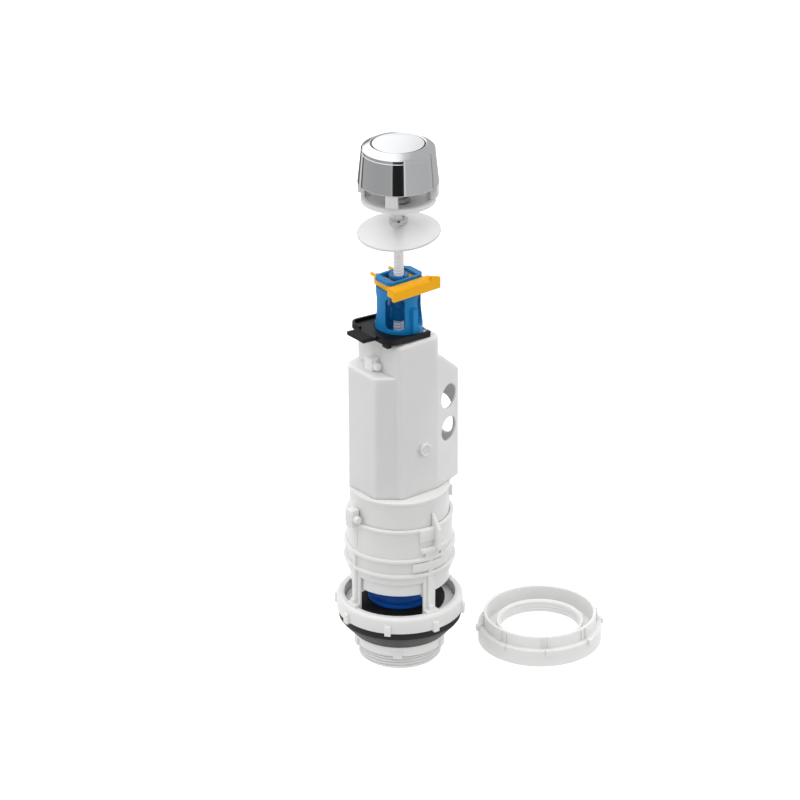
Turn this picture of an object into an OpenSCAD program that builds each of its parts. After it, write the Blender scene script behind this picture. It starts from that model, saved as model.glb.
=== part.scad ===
// Push-button flush valve for a toilet cistern, with its back nut beside it.
// Origin on the valve's axis at the end of the outlet tail, +Z up.
// +X runs to the housing's wing, -Y is the front with the rocker's boss.

/* [Outlet] */
// Thread diameter of the outlet tail, mm
tail_d = 59.6; // [50:0.1:70]
// Water way through the tail, mm
tail_bore = 53; // [40:0.5:56]
// Length of the thread, mm
thread_h = 9; // [8:0.5:40]
// Diameter of the plain collar above the thread
collar_d = 63.6; // [61:0.2:66]
// Height of the collar
collar_h = 7.8; // [5:0.2:12]
// Diameter of the lip that carries the gasket
lip_d = 67.6; // [65:0.2:72]
// Height of the lip
lip_h = 2.8; // [2:0.2:6]
// Number of centring keys under the lip
key_n = 5; // [3:1:8]
// Width of a key
key_w = 6.5; // [3:0.5:10]
// How far a key hangs below the lip
key_drop = 7.4; // [4:0.2:7.8]
// Height of the gasket
gasket_h = 17; // [10:0.5:30]
// Diameter of the gasket's rim
gasket_d = 88.6; // [80:0.2:90]
// Height of the gasket's rim
gasket_rim_h = 5.5; // [3:0.5:9]
// Diameter of the gasket at its waist
gasket_waist_d = 85; // [76:0.5:86]
// Height of the waist above the gasket's lower edge
gasket_waist_up = 9; // [5:0.5:12]
// Diameter of the hub that the gasket sits on
hub_d = 62; // [58:0.5:64]
// Thickness of the seat plate
plate_t = 3; // [2:0.2:5]
// Diameter of the valve seat
seat_d = 60; // [56:0.5:62]
// Height of the seat above its plate
seat_h = 0.9; // [0.5:0.1:3]
// Width of the flat that the seal closes on
seat_land = 1.5; // [0.8:0.1:3]

/* [Cage] */
// Diameter of the base ring
ring_d = 91.2; // [86:0.2:100]
// Height of the base ring
ring_h = 12; // [9:0.5:18]
// Wall of the base ring
ring_wall = 5.6; // [4:0.2:8]
// Round on the ring's upper outer edge
ring_round = 3; // [1:0.5:5]
// Height of the ledge inside the ring
ledge_h = 2; // [1:0.2:3]
// Width of the ledge
ledge_w = 4; // [2:0.2:5]
// Number of lugs round the base ring
lug_n = 8; // [4:1:12]
// Width of a lug
lug_w = 4.4; // [2:0.2:7]
// How far a lug stands out of the ring
lug_proud = 2; // [0.6:0.1:3]
// Height of a lug above the ring's lower edge
lug_h = 6.5; // [4:0.5:10]
// How far a lug hangs below the ring
lug_drop = 1.2; // [0:0.1:2]
// Height of the water windows above the ring
window_h = 13.5; // [9:0.5:22]
// Number of posts between the windows
post_n = 4; // [3:1:6]
// Turn of the posts about the axis
post_turn = -4; // [-20:1:20]
// Where a post's foot ends, in from the ring's outer face
foot_in = 4; // [3:0.2:5]
// Width of a post
post_w = 10; // [6:0.5:14]
// Width of the rib on a post
rib_w = 3.6; // [2:0.2:6]
// Thickness of a post
post_t = 1.8; // [1.2:0.2:3]
// Height of a post's foot
foot_h = 5.5; // [3:0.5:8]
// Height of the sleeve's lower edge above the windows
sleeve_up = 10; // [6:0.5:14]
// Height of the sleeve
sleeve_h = 43; // [35:0.5:55]
// Wall of the sleeve
sleeve_t = 1.9; // [1.2:0.1:3]
// Height of a bead round the sleeve
bead_h = 2.4; // [1.5:0.1:4]
// How far the two lower beads stand out
bead_proud = 2.3; // [1:0.1:4]
// Height of the low bead above the sleeve's lower edge
low_bead_up = 6; // [3:0.5:8]
// Height of the middle bead above the sleeve's lower edge
mid_bead_up = 18; // [14:0.5:20]
// How far the bead at the sleeve's top stands out
top_bead_proud = 0.8; // [0.4:0.1:2]

/* [Latch] */
// Thickness of the fin on the front of the sleeve
fin_t = 2.4; // [1.5:0.1:4]
// How far the fin stands out of the sleeve
fin_reach = 6.2; // [3:0.2:9]
// How far the fin rises above the sleeve
fin_over = 10; // [5:0.5:14]
// Height of the fin
fin_h = 27; // [20:0.5:34]
// Thickness of the latch's tabs
tab_t = 3.2; // [2:0.2:5]
// Height of the upper catch
catch_h = 9; // [6:0.5:12]
// Height of the tongue below it
tongue_h = 3; // [2:0.2:5]
// Height of the hook below the tongue
hook_h = 6.5; // [4:0.5:9]
// Height of the bar at the middle bead
bar_h = 6.5; // [4:0.5:9]
// Diameter of the pins on the sleeve's and the housing's lugs
peg_d = 5.7; // [3:0.1:8]
// Length of a pin
peg_out = 4; // [2:0.2:8]
// Width of a lug that carries a pin
peg_block_w = 8; // [5:0.5:12]
// Thickness of such a lug
peg_block_t = 6.4; // [5:0.2:10]
// Height of such a lug
peg_block_h = 13.5; // [9:0.5:18]

/* [Lower cylinder] */
// Diameter of the lower cylinder
cyl_d = 71.4; // [60:0.2:80]
// Wall of the lower cylinder
cyl_t = 2; // [1.4:0.1:3]
// Height of the lower cylinder
cyl_h = 74; // [60:0.5:100]
// Height of the rim at its top
rim_h = 2; // [1:0.2:4]
// How far the rim stands out
rim_proud = 0.6; // [0.2:0.1:1.5]

/* [Housing] */
// Wall of the housing
wall = 2; // [1.4:0.1:3]
// Half width across the front and back faces
half_y = 25; // [22:0.5:30]
// Distance of the left face from the axis
left_x = 31.7; // [28:0.5:36]
// Distance of the wing's end from the axis
wing_x = 42.4; // [38:0.5:48]
// Half width of the wing's end
wing_half = 16; // [12:0.5:19]
// Left end of the front face
face_left = 15; // [12:0.5:18]
// Right end of the front and back faces
face_right = 15.2; // [12:0.5:20]
// Front end of the left face
left_front = 11.5; // [8:0.5:15]
// Back end of the left face
left_back = 18.3; // [14:0.5:20]
// Left end of the back face
back_left = 25; // [20:0.5:27]
// Round at the housing's upright corners
corner_r = 5; // [3:0.5:7]
// Height of the left shoulder above the cylinder
shoulder_h = 95; // [80:0.5:120]
// Height of the wing's end above the cylinder
wing_h = 83; // [70:0.5:95]
// Height of the wing's roof at the neck
roof_h = 103.4; // [96:0.5:115]
// Height of the neck above the cylinder
neck_h = 119.4; // [110:0.5:140]
// Distance of the neck's left face from the axis
neck_left = 20; // [18:0.5:24]
// Distance of the neck's right face from the axis
neck_right = 18.6; // [18:0.2:22]
// Round at the neck's corners
neck_r = 6; // [4:0.5:8]
// Distance of the rocker's boss from the axis
boss_x = 2.7; // [0:0.1:6]
// Height of the boss above the cylinder
boss_h = 35; // [28:0.5:45]
// Diameter of the boss
boss_d = 9; // [8:0.2:12]
// How far the boss stands out
boss_out = 3; // [1:0.2:5]
// Diameter of the flow holes in the wing
flow_d = 18.5; // [8:0.5:22]
// Height of the lower flow hole
flow_low = 41.2; // [30:0.2:50]
// Height of the upper flow hole
flow_high = 66.7; // [60:0.2:75]
// Width of the slot in the wing's end
slot_w = 20; // [10:0.5:26]
// Height of that slot
slot_h = 30; // [20:0.5:40]
// Height of its middle above the cylinder
slot_mid = 43; // [30:0.5:55]

/* [Release slide] */
// Thickness of the slide's plate
slide_t = 2.3; // [1.5:0.1:4]
// Distance of the slide's left edge from the axis
slide_left = 28; // [25:0.5:32]
// Distance of the slide's right ends from the axis
slide_right = 10; // [4:0.5:14]
// Half width of the slide
slide_half = 23.2; // [22.5:0.1:25]
// Width of the raised rim
slide_rim = 1.8; // [1.2:0.1:3]
// Height of the rim above the plate
slide_rim_h = 1.9; // [0.8:0.1:3]
// Round at the slide's left corners
slide_corner = 8; // [4:0.5:10]
// How far the slide's grip end stands up, degrees
slide_tilt = 4; // [0:0.2:5]
// Width of the hook foot at the slide's left edge
foot_w = 6; // [3:0.2:9]
// Thickness of the hook foot
foot_t = 3.6; // [2:0.2:5]
// How far the hook foot hangs below the plate
foot_drop = 4; // [2:0.2:6]
// Distance of the hook foot from the slide's front edge
foot_back = 5; // [1:0.5:9]
// Length of the grip
grip_len = 11; // [6:0.5:16]
// Width of the grip
grip_w = 19; // [10:0.5:26]
// Number of ribs on the grip
grip_n = 6; // [3:1:9]
// Width and height of a rib
grip_rib = 0.9; // [0.5:0.1:1.4]

/* [Carriage] */
// Diameter of the skirt that runs in the neck
skirt_d = 33.8; // [32:0.1:34.2]
// Diameter of the tower
tower_d = 32.2; // [30:0.1:33]
// Wall of the tower and the skirt
tower_t = 1.8; // [1.2:0.1:2.4]
// Height of the tower above the neck
tower_up = 35; // [30:0.5:46]
// Height of the tower's flared foot
flare_up = 13; // [8:0.5:18]
// Thickness of the tower's top
deck_t = 4; // [2.5:0.1:6]
// How far the skirt goes down into the neck
skirt_below = 31.5; // [27:0.5:40]
// Width of a window
light_w = 14; // [8:0.2:15]
// Height of a window
light_h = 24; // [14:0.5:27]
// Height of the windows above the neck
light_up = 6.1; // [5:0.1:9]
// Round at a window's corners
light_r = 3.6; // [1:0.1:4]
// Turn of the windows about the axis
light_turn = 42; // [35:1:55]
// Width of a guide rib
guide_w = 4.2; // [3:0.1:6]
// How far a guide rib stands out of the tower
guide_out = 3.4; // [2:0.1:4]
// Height of a guide rib
guide_h = 17.5; // [10:0.5:22]
// Length of the head frame
head_x = 31.2; // [29:0.2:33]
// Width of the head frame
head_y = 20; // [19.6:0.2:24]
// Thickness of the head frame
head_t = 2.4; // [1.8:0.1:4]
// Length of the opening in the head
head_open_x = 21.4; // [19:0.2:23]
// Width of the opening in the head
head_open_y = 15.6; // [15:0.2:16.4]
// Cut at the head's corners
head_cut = 3.5; // [1:0.1:5]
// Width of the pillars that carry the head
pillar_w = 11.8; // [6:0.2:12.4]
// Thickness of a pillar
pillar_t = 2.6; // [1.6:0.1:2.8]
// Width of a push leg to the rocker
leg_w = 7; // [6:0.2:9]
// Thickness of a push leg
leg_t = 3; // [2:0.1:3.1]
// Wall of a push leg behind the rocker's pin
leg_wall = 1.8; // [1.4:0.1:1.9]

/* [Rod and nut] */
// Diameter over the rod's thread
rod_d = 7.4; // [6:0.1:8]
// Height of the rod's lower end above the tail's end
rod_low = 248; // [244:0.5:256]
// Diameter of the rod nut
nut_d = 12; // [10:0.1:12.4]
// Diameter of the nut's flange
nut_flange_d = 14; // [13.4:0.1:15]
// Height of the flange
nut_flange_h = 2.6; // [1.5:0.1:4]
// Diameter of the nut's collar under the deck
nut_collar_d = 15.4; // [13:0.1:18]
// Height of the collar
nut_collar_h = 11; // [6:0.5:14]
// Length of the nut below its flange
nut_len = 31; // [24:0.5:34]
// Width of the slit at the nut's front
nut_slit = 1.2; // [0.8:0.1:2]

/* [Locking fork] */
// Thickness of the fork
fork_t = 4.8; // [3:0.1:6]
// Where the fork's fingers end behind the axis
fork_back = 21; // [18:0.5:24]
// Where the fork's front face is before the axis
fork_front = 19; // [18:0.5:24]
// Left end of the fork's front lip
fork_left = 19; // [16:0.5:24]
// Right end of the thumb tab
fork_right = 22.4; // [20:0.2:26]
// Thickness of the front flange
fork_flange_t = 2.4; // [1.5:0.1:4]
// Height of the front flange
fork_flange_h = 7.2; // [5:0.2:12]
// Width of the thumb tab
thumb_w = 8; // [4:0.5:10]
// Height of the tab above the fork at its left
thumb_up = 3.4; // [1:0.2:5]
// How far the tab's top falls to its right
thumb_fall = 2.2; // [0:0.1:3]
// Depth of the front lip
lip_deep = 7.6; // [6:0.1:8]
// Height of the lip above the fork
lip_up = 1.4; // [0.4:0.1:2]
// Round on the lip's upper front edge
lip_round = 2.5; // [1:0.1:3]
// Right end of the lip
lip_right = 17; // [15.5:0.1:18]
// Width of an arm at its end
arm_tip_w = 3.2; // [2.6:0.1:4]
// Diameter of the fingers at the arms' ends
finger_d = 2.4; // [1.6:0.1:3]
// Length of a finger
finger_len = 5; // [3:0.5:7]

/* [Button] */
// Height of the bezel's lower edge above the tail's end
bezel_z = 369.2; // [350:0.2:390]
// Diameter of the bezel at its lower edge
bezel_d = 57; // [50:0.2:60]
// Diameter of the bezel at its bevel
bezel_top_d = 51.4; // [46:0.2:54]
// Height of the bezel below its bevel
bezel_h = 25.6; // [20:0.1:32]
// Height of the bevel
bevel_h = 3.3; // [1:0.1:5]
// Wall of the bezel
bezel_t = 1.4; // [1:0.1:2]
// Diameter of the button
button_d = 36.8; // [32:0.2:39]
// Height of the button's dome
button_dome = 0.8; // [0.3:0.1:2]
// Height of the button's skirt
button_skirt = 9; // [6:0.5:12]
// Travel of the button
press = 10; // [6:0.5:11]
// Height of the crown below the bezel's edge
crown_drop = 14; // [13:0.5:20]
// Diameter of the crown
crown_d = 52.6; // [48:0.2:54]
// Height of the crown's ring
crown_ring_h = 3; // [2:0.1:5]
// Width of a crown post
crown_post_w = 8.4; // [5:0.2:11]
// Thickness of a crown post
crown_post_t = 3.2; // [2:0.1:5]
// Height of the hook block on a post
crown_hook_h = 8.6; // [5:0.1:10]
// Height of the ring that holds the crown in the bezel
hold_h = 3; // [2:0.1:5]
// Wall of that ring
hold_t = 1.6; // [1:0.1:2.4]
// Wall of the crown's bowl
crown_t = 1.8; // [1.2:0.1:3]
// Diameter of the bowl's floor
crown_bowl_d = 15; // [13.5:0.2:18]
// Diameter of the crown's neck
neck_d = 11.2; // [10:0.1:14]
// Length of the crown's neck
neck_drop = 10.2; // [6:0.2:14]
// Turn of the crown's posts about the axis
crown_turn = -48; // [-90:1:90]
// Diameter of the clip under the neck
clip_d = 13; // [11.6:0.1:16]
// Height of the clip
clip_h = 3.4; // [2:0.1:5]
// Diameter of the button's stem
stem_d = 11; // [10:0.1:12]
// Diameter of the spring
spring_d = 17.2; // [15:0.1:20]
// Wire of the spring
spring_wire = 1.2; // [0.8:0.1:1.6]
// Diameter of the splash disc
disc_d = 58.7; // [50:0.1:64]
// Depth of the splash disc's cone
disc_h = 7; // [3:0.1:10]
// Wall of the splash disc
disc_t = 1.4; // [1:0.1:2.4]
// Tilt of the splash disc, degrees
disc_tilt = 5.4; // [0:0.2:6]
// Turn of that tilt about the axis
disc_tilt_turn = -74; // [-180:1:180]

/* [Valve] */
// Diameter of the overflow tube
tube_d = 26; // [22:0.2:28]
// Wall of the overflow tube
tube_t = 2; // [1.2:0.1:3]
// Height of the tube's top above the tail's end
tube_top = 205; // [190:0.5:212]
// Diameter of the valve seal
seal_d = 65; // [62:0.2:68]
// Thickness of the valve seal
seal_t = 2.2; // [1.5:0.1:4]
// Diameter of the seal's holder
holder_d = 45.6; // [40:0.2:56]
// Thickness of the holder's disc
holder_t = 2.5; // [1.5:0.1:4]
// Height of the holder's hub
holder_hub = 11; // [6:0.5:14]
// Diameter of the ring under the seal
retainer_d = 44; // [36:0.2:50]
// Thickness of that ring
retainer_t = 3; // [2:0.1:4]
// Gap between the float cup and the lower cylinder
float_gap = 2.7; // [1:0.1:8]
// Height of the float cup
float_h = 26; // [16:0.5:30]
// Height of the cup above the cylinder's lower edge
float_up = 30; // [25:0.5:32]
// Wall of the float cup
float_t = 1.8; // [1.2:0.1:2.5]
// Height of the lift collar and its ears
ear_h = 10; // [8:0.2:12]
// Length of the ears
ear_x = 21; // [20:0.2:23]

/* [Rocker] */
// Length of a rocker arm
arm_len = 14; // [12:0.2:16]
// Height of an arm
arm_h = 7.6; // [6:0.2:9]
// Thickness of an arm
arm_t = 1.6; // [1.5:0.1:2]
// Distance between the arms
arm_in = 32.8; // [32:0.1:33.4]
// Diameter of the rocker's axle pins
axle_d = 6; // [4:0.1:6.4]
// Diameter of the pins at the arms' ends
pin_d = 4; // [3:0.1:4.6]
// Distance of the tie from the axle
tie_out = 20; // [19.8:0.1:20.2]
// Height of an arm at the tie
tail_h = 4.4; // [4.2:0.1:4.8]

/* [Back nut] */
// Place of the back nut along X
nut_x = 91; // [80:0.5:140]
// Place of the back nut along Y
nut_y = -49; // [-100:0.5:-40]
// Diameter of the nut's skirt
nut_skirt_d = 90; // [84:0.5:96]
// Height of the skirt
skirt_h = 13; // [9:0.5:18]
// Wall of the skirt
skirt_t = 2.6; // [1.5:0.1:4]
// Diameter of the nut's upper ring
upper_d = 82; // [78:0.5:84]
// Height of the upper ring
upper_h = 22; // [18:0.5:30]
// Wall of the upper ring
upper_t = 2.2; // [1.5:0.1:4]
// Bore of the nut inside its thread
thread_bore = 56.7; // [50:0.1:68]
// Wall of the threaded hub
hub_t = 3.2; // [2:0.1:5]
// Height of the hub's lower end
hub_low = 2; // [0:0.2:5]
// Height of the hub's top
hub_top = 15.3; // [12:0.1:20]
// How far the nut's lugs stand out
nut_lug_proud = 1.5; // [0.6:0.1:3]
// Height of the web between hub and rings
web_z = 6; // [4:0.2:9]
// Thickness of the web
web_t = 2.4; // [1.5:0.1:4]

/* [Hidden] */
$fn = 64;
eps = 0.01;
// How far one piece of a body runs into the next
join = 0.5;
fit = 0.05;    // pieces of one body, pushed together
run = 0.3;     // running gap between bodies
pin_gap = 0.05; // turning fit of the rocker's axle
big = 300;

// Levels, each on the one below
z_lip = thread_h + collar_h;
z_gasket = z_lip + lip_h;
z_ring = z_gasket + gasket_h;
z_plate = z_ring + ledge_h;
z_seat = z_plate + plate_t + seat_h;
mouth_h = retainer_t + 0.6;
z_ring_top = z_ring + ring_h;
z_cyl = z_ring_top + window_h;
z_sleeve = z_cyl + sleeve_up;
z_sleeve_top = z_sleeve + sleeve_h;
z_body = z_cyl + cyl_h;
z_neck = z_body + neck_h;
z_slide = z_neck + 0.1;
z_boss = z_body + boss_h;
z_deck = z_neck + tower_up;
z_fork = z_deck + run;
z_head = z_fork + fork_t + run;
z_head_top = z_head + head_t;
z_flare = z_neck + 4.6;
z_skirt = z_neck - skirt_below;

// Radii of pieces that run in one another
sleeve_in = cyl_d / 2 + 0.35;
sleeve_out = sleeve_in + sleeve_t;
ring_in = ring_d / 2 - ring_wall;
guide_bore = tube_d / 2 + run;
neck_bore = skirt_d / 2 + run;
nut_bore = rod_d / 2 + 0.1;
bezel_in = button_d / 2 + 0.7;
tube_fit = tube_d / 2 + fit;
float_d = cyl_d - 2 * cyl_t - 2 * float_gap;
hold_up = 0.8;
hold_r = bezel_d / 2 - bezel_t - 3 * run;

// Rocker: at rest the input end is half the travel up
throw = asin(press / 2 / arm_len);
in_x = boss_x - arm_len * cos(throw);
out_x = boss_x + arm_len * cos(throw);
in_z = z_boss + press / 2;
out_z = z_boss - press / 2;
arm_out = arm_in / 2 + arm_t;
leg_in = arm_out + 0.6;
pin_slack = arm_len * (1 - cos(throw));

// Housing plan, anticlockwise from the left front corner
plan = [[-left_x, -left_front], [-face_left, -half_y], [face_right, -half_y],
        [wing_x, -wing_half], [wing_x, wing_half], [face_right, half_y],
        [-back_left, half_y], [-left_x, left_back]];
neck_plan = [[-neck_left, -half_y], [neck_right, -half_y],
             [neck_right, half_y], [-neck_left, half_y]];
wing_face = [wing_x - face_right, half_y - wing_half];
wing_turn = atan2(wing_face[1], wing_face[0]);

// Splash disc hangs just under the clip at the end of the crown's neck
z_crown = bezel_z - crown_drop;
z_bowl = z_crown - 3;
z_clip = z_bowl - neck_drop - clip_h;
z_disc = z_clip - run - 0.6;
z_button = bezel_z + bezel_h + bevel_h;

function unit(v) = v / norm(v);
function left_of(v) = [-v[1], v[0]];

// Centre of the round at corner i of a convex outline that runs anticlockwise
function corner(p, i, r) =
    let (n = len(p), a = unit(p[i] - p[(i + n - 1) % n]), b = unit(p[(i + 1) % n] - p[i]),
         na = left_of(a), nb = left_of(b))
    p[i] + (na + nb) * r / (1 + na * nb);

// Convex outline with round corners, drawn inset by t
module soft(p, r, t = 0) {
    n = len(p);
    q = [for (i = [0:n - 1])
         let (c = corner(p, i, r), a = unit(p[i] - p[(i + n - 1) % n]), b = unit(p[(i + 1) % n] - p[i]))
         each [c - left_of(a) * (r - t), c - left_of(b) * (r - t)]];
    polygon(q);
    for (i = [0:n - 1])
        translate(corner(p, i, r))
            circle(r - t);
}

module ring(d_out, d_in, h) {
    difference() {
        cylinder(d = d_out, h = h);
        translate([0, 0, -1])
            cylinder(d = d_in, h = h + 2);
    }
}

// Part of a ring between two angles
module sector(r, t, h, from, to) {
    rotate([0, 0, from])
        rotate_extrude(angle = to - from)
            translate([r, 0])
                square([t, h]);
}

module around(n, turn = 0) {
    for (i = [0:n - 1])
        rotate([0, 0, turn + i * 360 / n])
            children();
}

// Bar centred on its width, from x0 to x1 and z0 to z1
module bar(x0, x1, w, z0, z1) {
    translate([x0, -w / 2, z0])
        cube([x1 - x0, w, z1 - z0]);
}

// Obround cutter along +X
module obround(w, h, depth) {
    rotate([90, 0, 90])
        linear_extrude(depth) {
            translate([0, (h - w) / 2])
                circle(d = w);
            translate([0, (w - h) / 2])
                circle(d = w);
            square([w, h - w], center = true);
        }
}

module outlet_seat() {
    color("white")
    difference() {
        union() {
            cylinder(d = tail_d, h = thread_h + eps);
            translate([0, 0, thread_h])
                cylinder(d = collar_d, h = collar_h + eps);
            translate([0, 0, z_lip])
                cylinder(d = lip_d, h = lip_h);
            translate([0, 0, z_lip])
                cylinder(d = hub_d, h = z_plate - z_lip + eps);
            translate([0, 0, z_plate])
                cylinder(r = ring_in - run, h = plate_t);
            translate([0, 0, z_plate])
                cylinder(d = seat_d, h = z_seat - z_plate);
            around(key_n, -131)
                bar(tail_bore / 2 + 1, lip_d / 2 - join, key_w, z_lip - key_drop, z_lip + join);
        }
        translate([0, 0, -1])
            cylinder(d = tail_bore, h = z_seat + 2);
        translate([0, 0, z_seat - mouth_h])
            cylinder(d1 = tail_bore, d2 = seat_d - 2 * seat_land, h = mouth_h + eps);
    }
}

module base_gasket() {
    color([0.09, 0.09, 0.09])
    translate([0, 0, z_gasket])
        rotate_extrude()
            polygon([[hub_d / 2 + fit, 0], [lip_d / 2 + 0.4, 0],
                     [gasket_waist_d / 2, gasket_waist_up], [gasket_d / 2, gasket_h - gasket_rim_h],
                     [gasket_d / 2, gasket_h], [hub_d / 2 + fit, gasket_h]]);
}

// Ring wall with its outer top edge rounded
module ring_section() {
    translate([ring_in, z_ring])
        square([ring_wall, ring_h - ring_round]);
    translate([ring_in, z_ring])
        square([ring_wall - ring_round, ring_h]);
    translate([ring_in - ledge_w, z_ring])
        square([ledge_w + eps, ledge_h]);
    intersection() {
        translate([ring_d / 2 - ring_round, z_ring_top - ring_round])
            circle(ring_round);
        translate([ring_in, z_ring])
            square([ring_wall, ring_h]);
    }
}

module post() {
    bar(sleeve_in + 0.2, sleeve_in + 0.2 + post_t, post_w, z_ring_top - 2, z_sleeve + mid_bead_up + join);
    bar(sleeve_in + 0.2, sleeve_out + bead_proud - join, rib_w, z_ring_top - 2, z_sleeve + mid_bead_up + join);
    bar(sleeve_in + 0.2, ring_d / 2 - foot_in + 1, post_w, z_ring_top - 2, z_ring_top + foot_h / 3);
    bar(sleeve_in + 0.2, ring_d / 2 - foot_in, rib_w, z_ring_top - 2, z_ring_top + foot_h);
    bar(cyl_d / 2 - cyl_t, sleeve_in + 1, post_w, z_cyl - 2.2, z_cyl - 0.1);
}

module fin() {
    rotate([90, 0, -90])
        translate([0, 0, -fin_t / 2])
            linear_extrude(fin_t)
                polygon([[-sleeve_in - 0.1, z_sleeve_top + fin_over],
                         [-sleeve_out - fin_reach, z_sleeve_top - 1],
                         [-sleeve_out - fin_reach, z_sleeve_top + fin_over - fin_h],
                         [-sleeve_in - 0.1, z_sleeve_top + fin_over - fin_h]]);
}

module latch() {
    tongue_z = z_sleeve_top - 18;
    mid_z = z_sleeve + mid_bead_up;
    translate([0, 0, z_sleeve_top - catch_h - join])
        sector(sleeve_in + 0.5, tab_t, catch_h, -106, -87);
    translate([0, 0, tongue_z])
        sector(sleeve_in + 0.5, tab_t + 1.5, tongue_h, -105, -71);
    translate([0, 0, tongue_z - hook_h])
        sector(sleeve_in + 0.5, tab_t, hook_h + join, -100, -83);
    translate([0, 0, mid_z - bar_h - 1])
        sector(sleeve_in + 0.5, tab_t + 0.5, bar_h, -114, -80);
    translate([0, 0, mid_z - bar_h - 1 + join])
        sector(sleeve_in + 0.5, tab_t + 0.2, tongue_z - mid_z + bar_h + 2, -80.5, -72);
    rotate([0, 0, 3])
        rotate([0, 0, 180])
            fin();
}

// Block at the origin's -X side with a pin on its front
module peg_block(h) {
    translate([-peg_block_t, 0, 0])
        cube([peg_block_t + eps, peg_block_w, h]);
    translate([-peg_block_t / 2, eps, h / 2])
        rotate([90, 0, 0])
            cylinder(d = peg_d, h = peg_out);
}

module cage() {
    color("white")
    union() {
        rotate_extrude()
            ring_section();
        around(lug_n, post_turn) {
            bar(ring_d / 2 - 1, ring_d / 2 + lug_proud, lug_w, z_ring, z_ring + lug_h);
            bar(gasket_d / 2 + run, ring_d / 2 + lug_proud, lug_w, z_ring - lug_drop, z_ring + join);
        }
        around(post_n, post_turn)
            post();
        translate([0, 0, z_sleeve])
            ring(2 * sleeve_out, 2 * sleeve_in, sleeve_h);
        for (up = [low_bead_up, mid_bead_up])
            translate([0, 0, z_sleeve + up])
                ring(2 * (sleeve_out + bead_proud), 2 * sleeve_in, bead_h);
        translate([0, 0, z_sleeve_top - bead_h])
            ring(2 * (sleeve_out + top_bead_proud), 2 * sleeve_in, bead_h);
        latch();
        translate([-sleeve_out + 1, -0.5, z_sleeve_top - 3])
            peg_block(peg_block_h);
    }
}

module lower_cylinder() {
    color("white")
    difference() {
        union() {
            translate([0, 0, z_cyl])
                cylinder(d = cyl_d, h = cyl_h);
            translate([0, 0, z_body - rim_h])
                cylinder(d = cyl_d + 2 * rim_proud, h = rim_h);
            rotate([0, 0, -42])
                bar(cyl_d / 2 - 1, cyl_d / 2 + 2.4, 3, z_body - 9, z_body - 1);
        }
        translate([0, 0, z_cyl - 1])
            cylinder(d = cyl_d - 2 * cyl_t, h = cyl_h - rim_h + 1);
        translate([0, 0, z_body - rim_h - 1])
            cylinder(r = guide_bore, h = rim_h + 2);
    }
}

// Housing solid, inset by t on every side but the open bottom
module hood(t) {
    fall = (roof_h - wing_h) / (wing_x - neck_right);
    roof = [[-left_x - 5, 0], [wing_x + 5, 0], [wing_x + 5, wing_h - t - 5 * fall],
            [neck_right, roof_h - t], [0, roof_h - t], [0, shoulder_h - t],
            [-left_x - 5, shoulder_h - t]];
    intersection() {
        linear_extrude(roof_h)
            soft(plan, corner_r, t);
        rotate([90, 0, 0])
            translate([0, 0, -big / 2])
                linear_extrude(big)
                    polygon(roof);
    }
    linear_extrude(neck_h - t)
        soft(neck_plan, neck_r, t);
}

module housing() {
    color("white")
    translate([0, 0, z_body])
    difference() {
        union() {
            difference() {
                hood(0);
                hood(wall);
            }
            linear_extrude(wall)
                soft(plan, corner_r, 0.1);
            for (s = [-1, 1])
                translate([boss_x, s * (half_y - wall), boss_h])
                    rotate([-90 * s, 0, 0])
                        cylinder(d = boss_d, h = wall + boss_out);
            translate([-neck_left, -2.6, shoulder_h - 1])
                peg_block(peg_block_h - 3);
        }
        translate([0, 0, -1])
            cylinder(d = cyl_d - 4 * cyl_t, h = wall + 2);
        translate([0, 0, neck_h - skirt_below - press - 1])
            cylinder(r = neck_bore, h = skirt_below + press + 2);
        for (s = [-1, 1])
            translate([-guide_w / 2 - run, s > 0 ? 0 : -(tower_d / 2 + guide_out + run), neck_h - wall - 1])
                cube([guide_w + 2 * run, tower_d / 2 + guide_out + run, wall + 2]);
        translate([boss_x, 0, boss_h])
            rotate([90, 0, 0])
                cylinder(d = axle_d + 2 * pin_gap, h = big, center = true);
        for (h = [flow_low, flow_high])
            translate([(face_right + wing_x) / 2, -(half_y + wing_half) / 2, h])
                rotate([90, 0, wing_turn])
                    cylinder(d = flow_d, h = 8, center = true);
        translate([wing_x - wall - 1, 0, slot_mid])
            obround(slot_w, slot_h, wall + 3);
    }
}

module slide_plan(t) {
    left = slide_left - slide_corner;
    translate([-left, -slide_half + t])
        square([left + slide_right - t, 2 * (slide_half - t)]);
    translate([-slide_left + t, -slide_half + slide_corner])
        square([slide_left, 2 * (slide_half - slide_corner)]);
    for (s = [-1, 1])
        translate([-left, s * (slide_half - slide_corner)])
            circle(slide_corner - t);
}

module slide_cut() {
    circle(neck_bore + run);
    translate([0, -neck_bore - run])
        square([big, 2 * (neck_bore + run)]);
    guide = tower_d / 2 + guide_out + run;
    translate([-guide_w / 2 - 2 * run, -guide])
        square([big, 2 * guide]);
}

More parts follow.
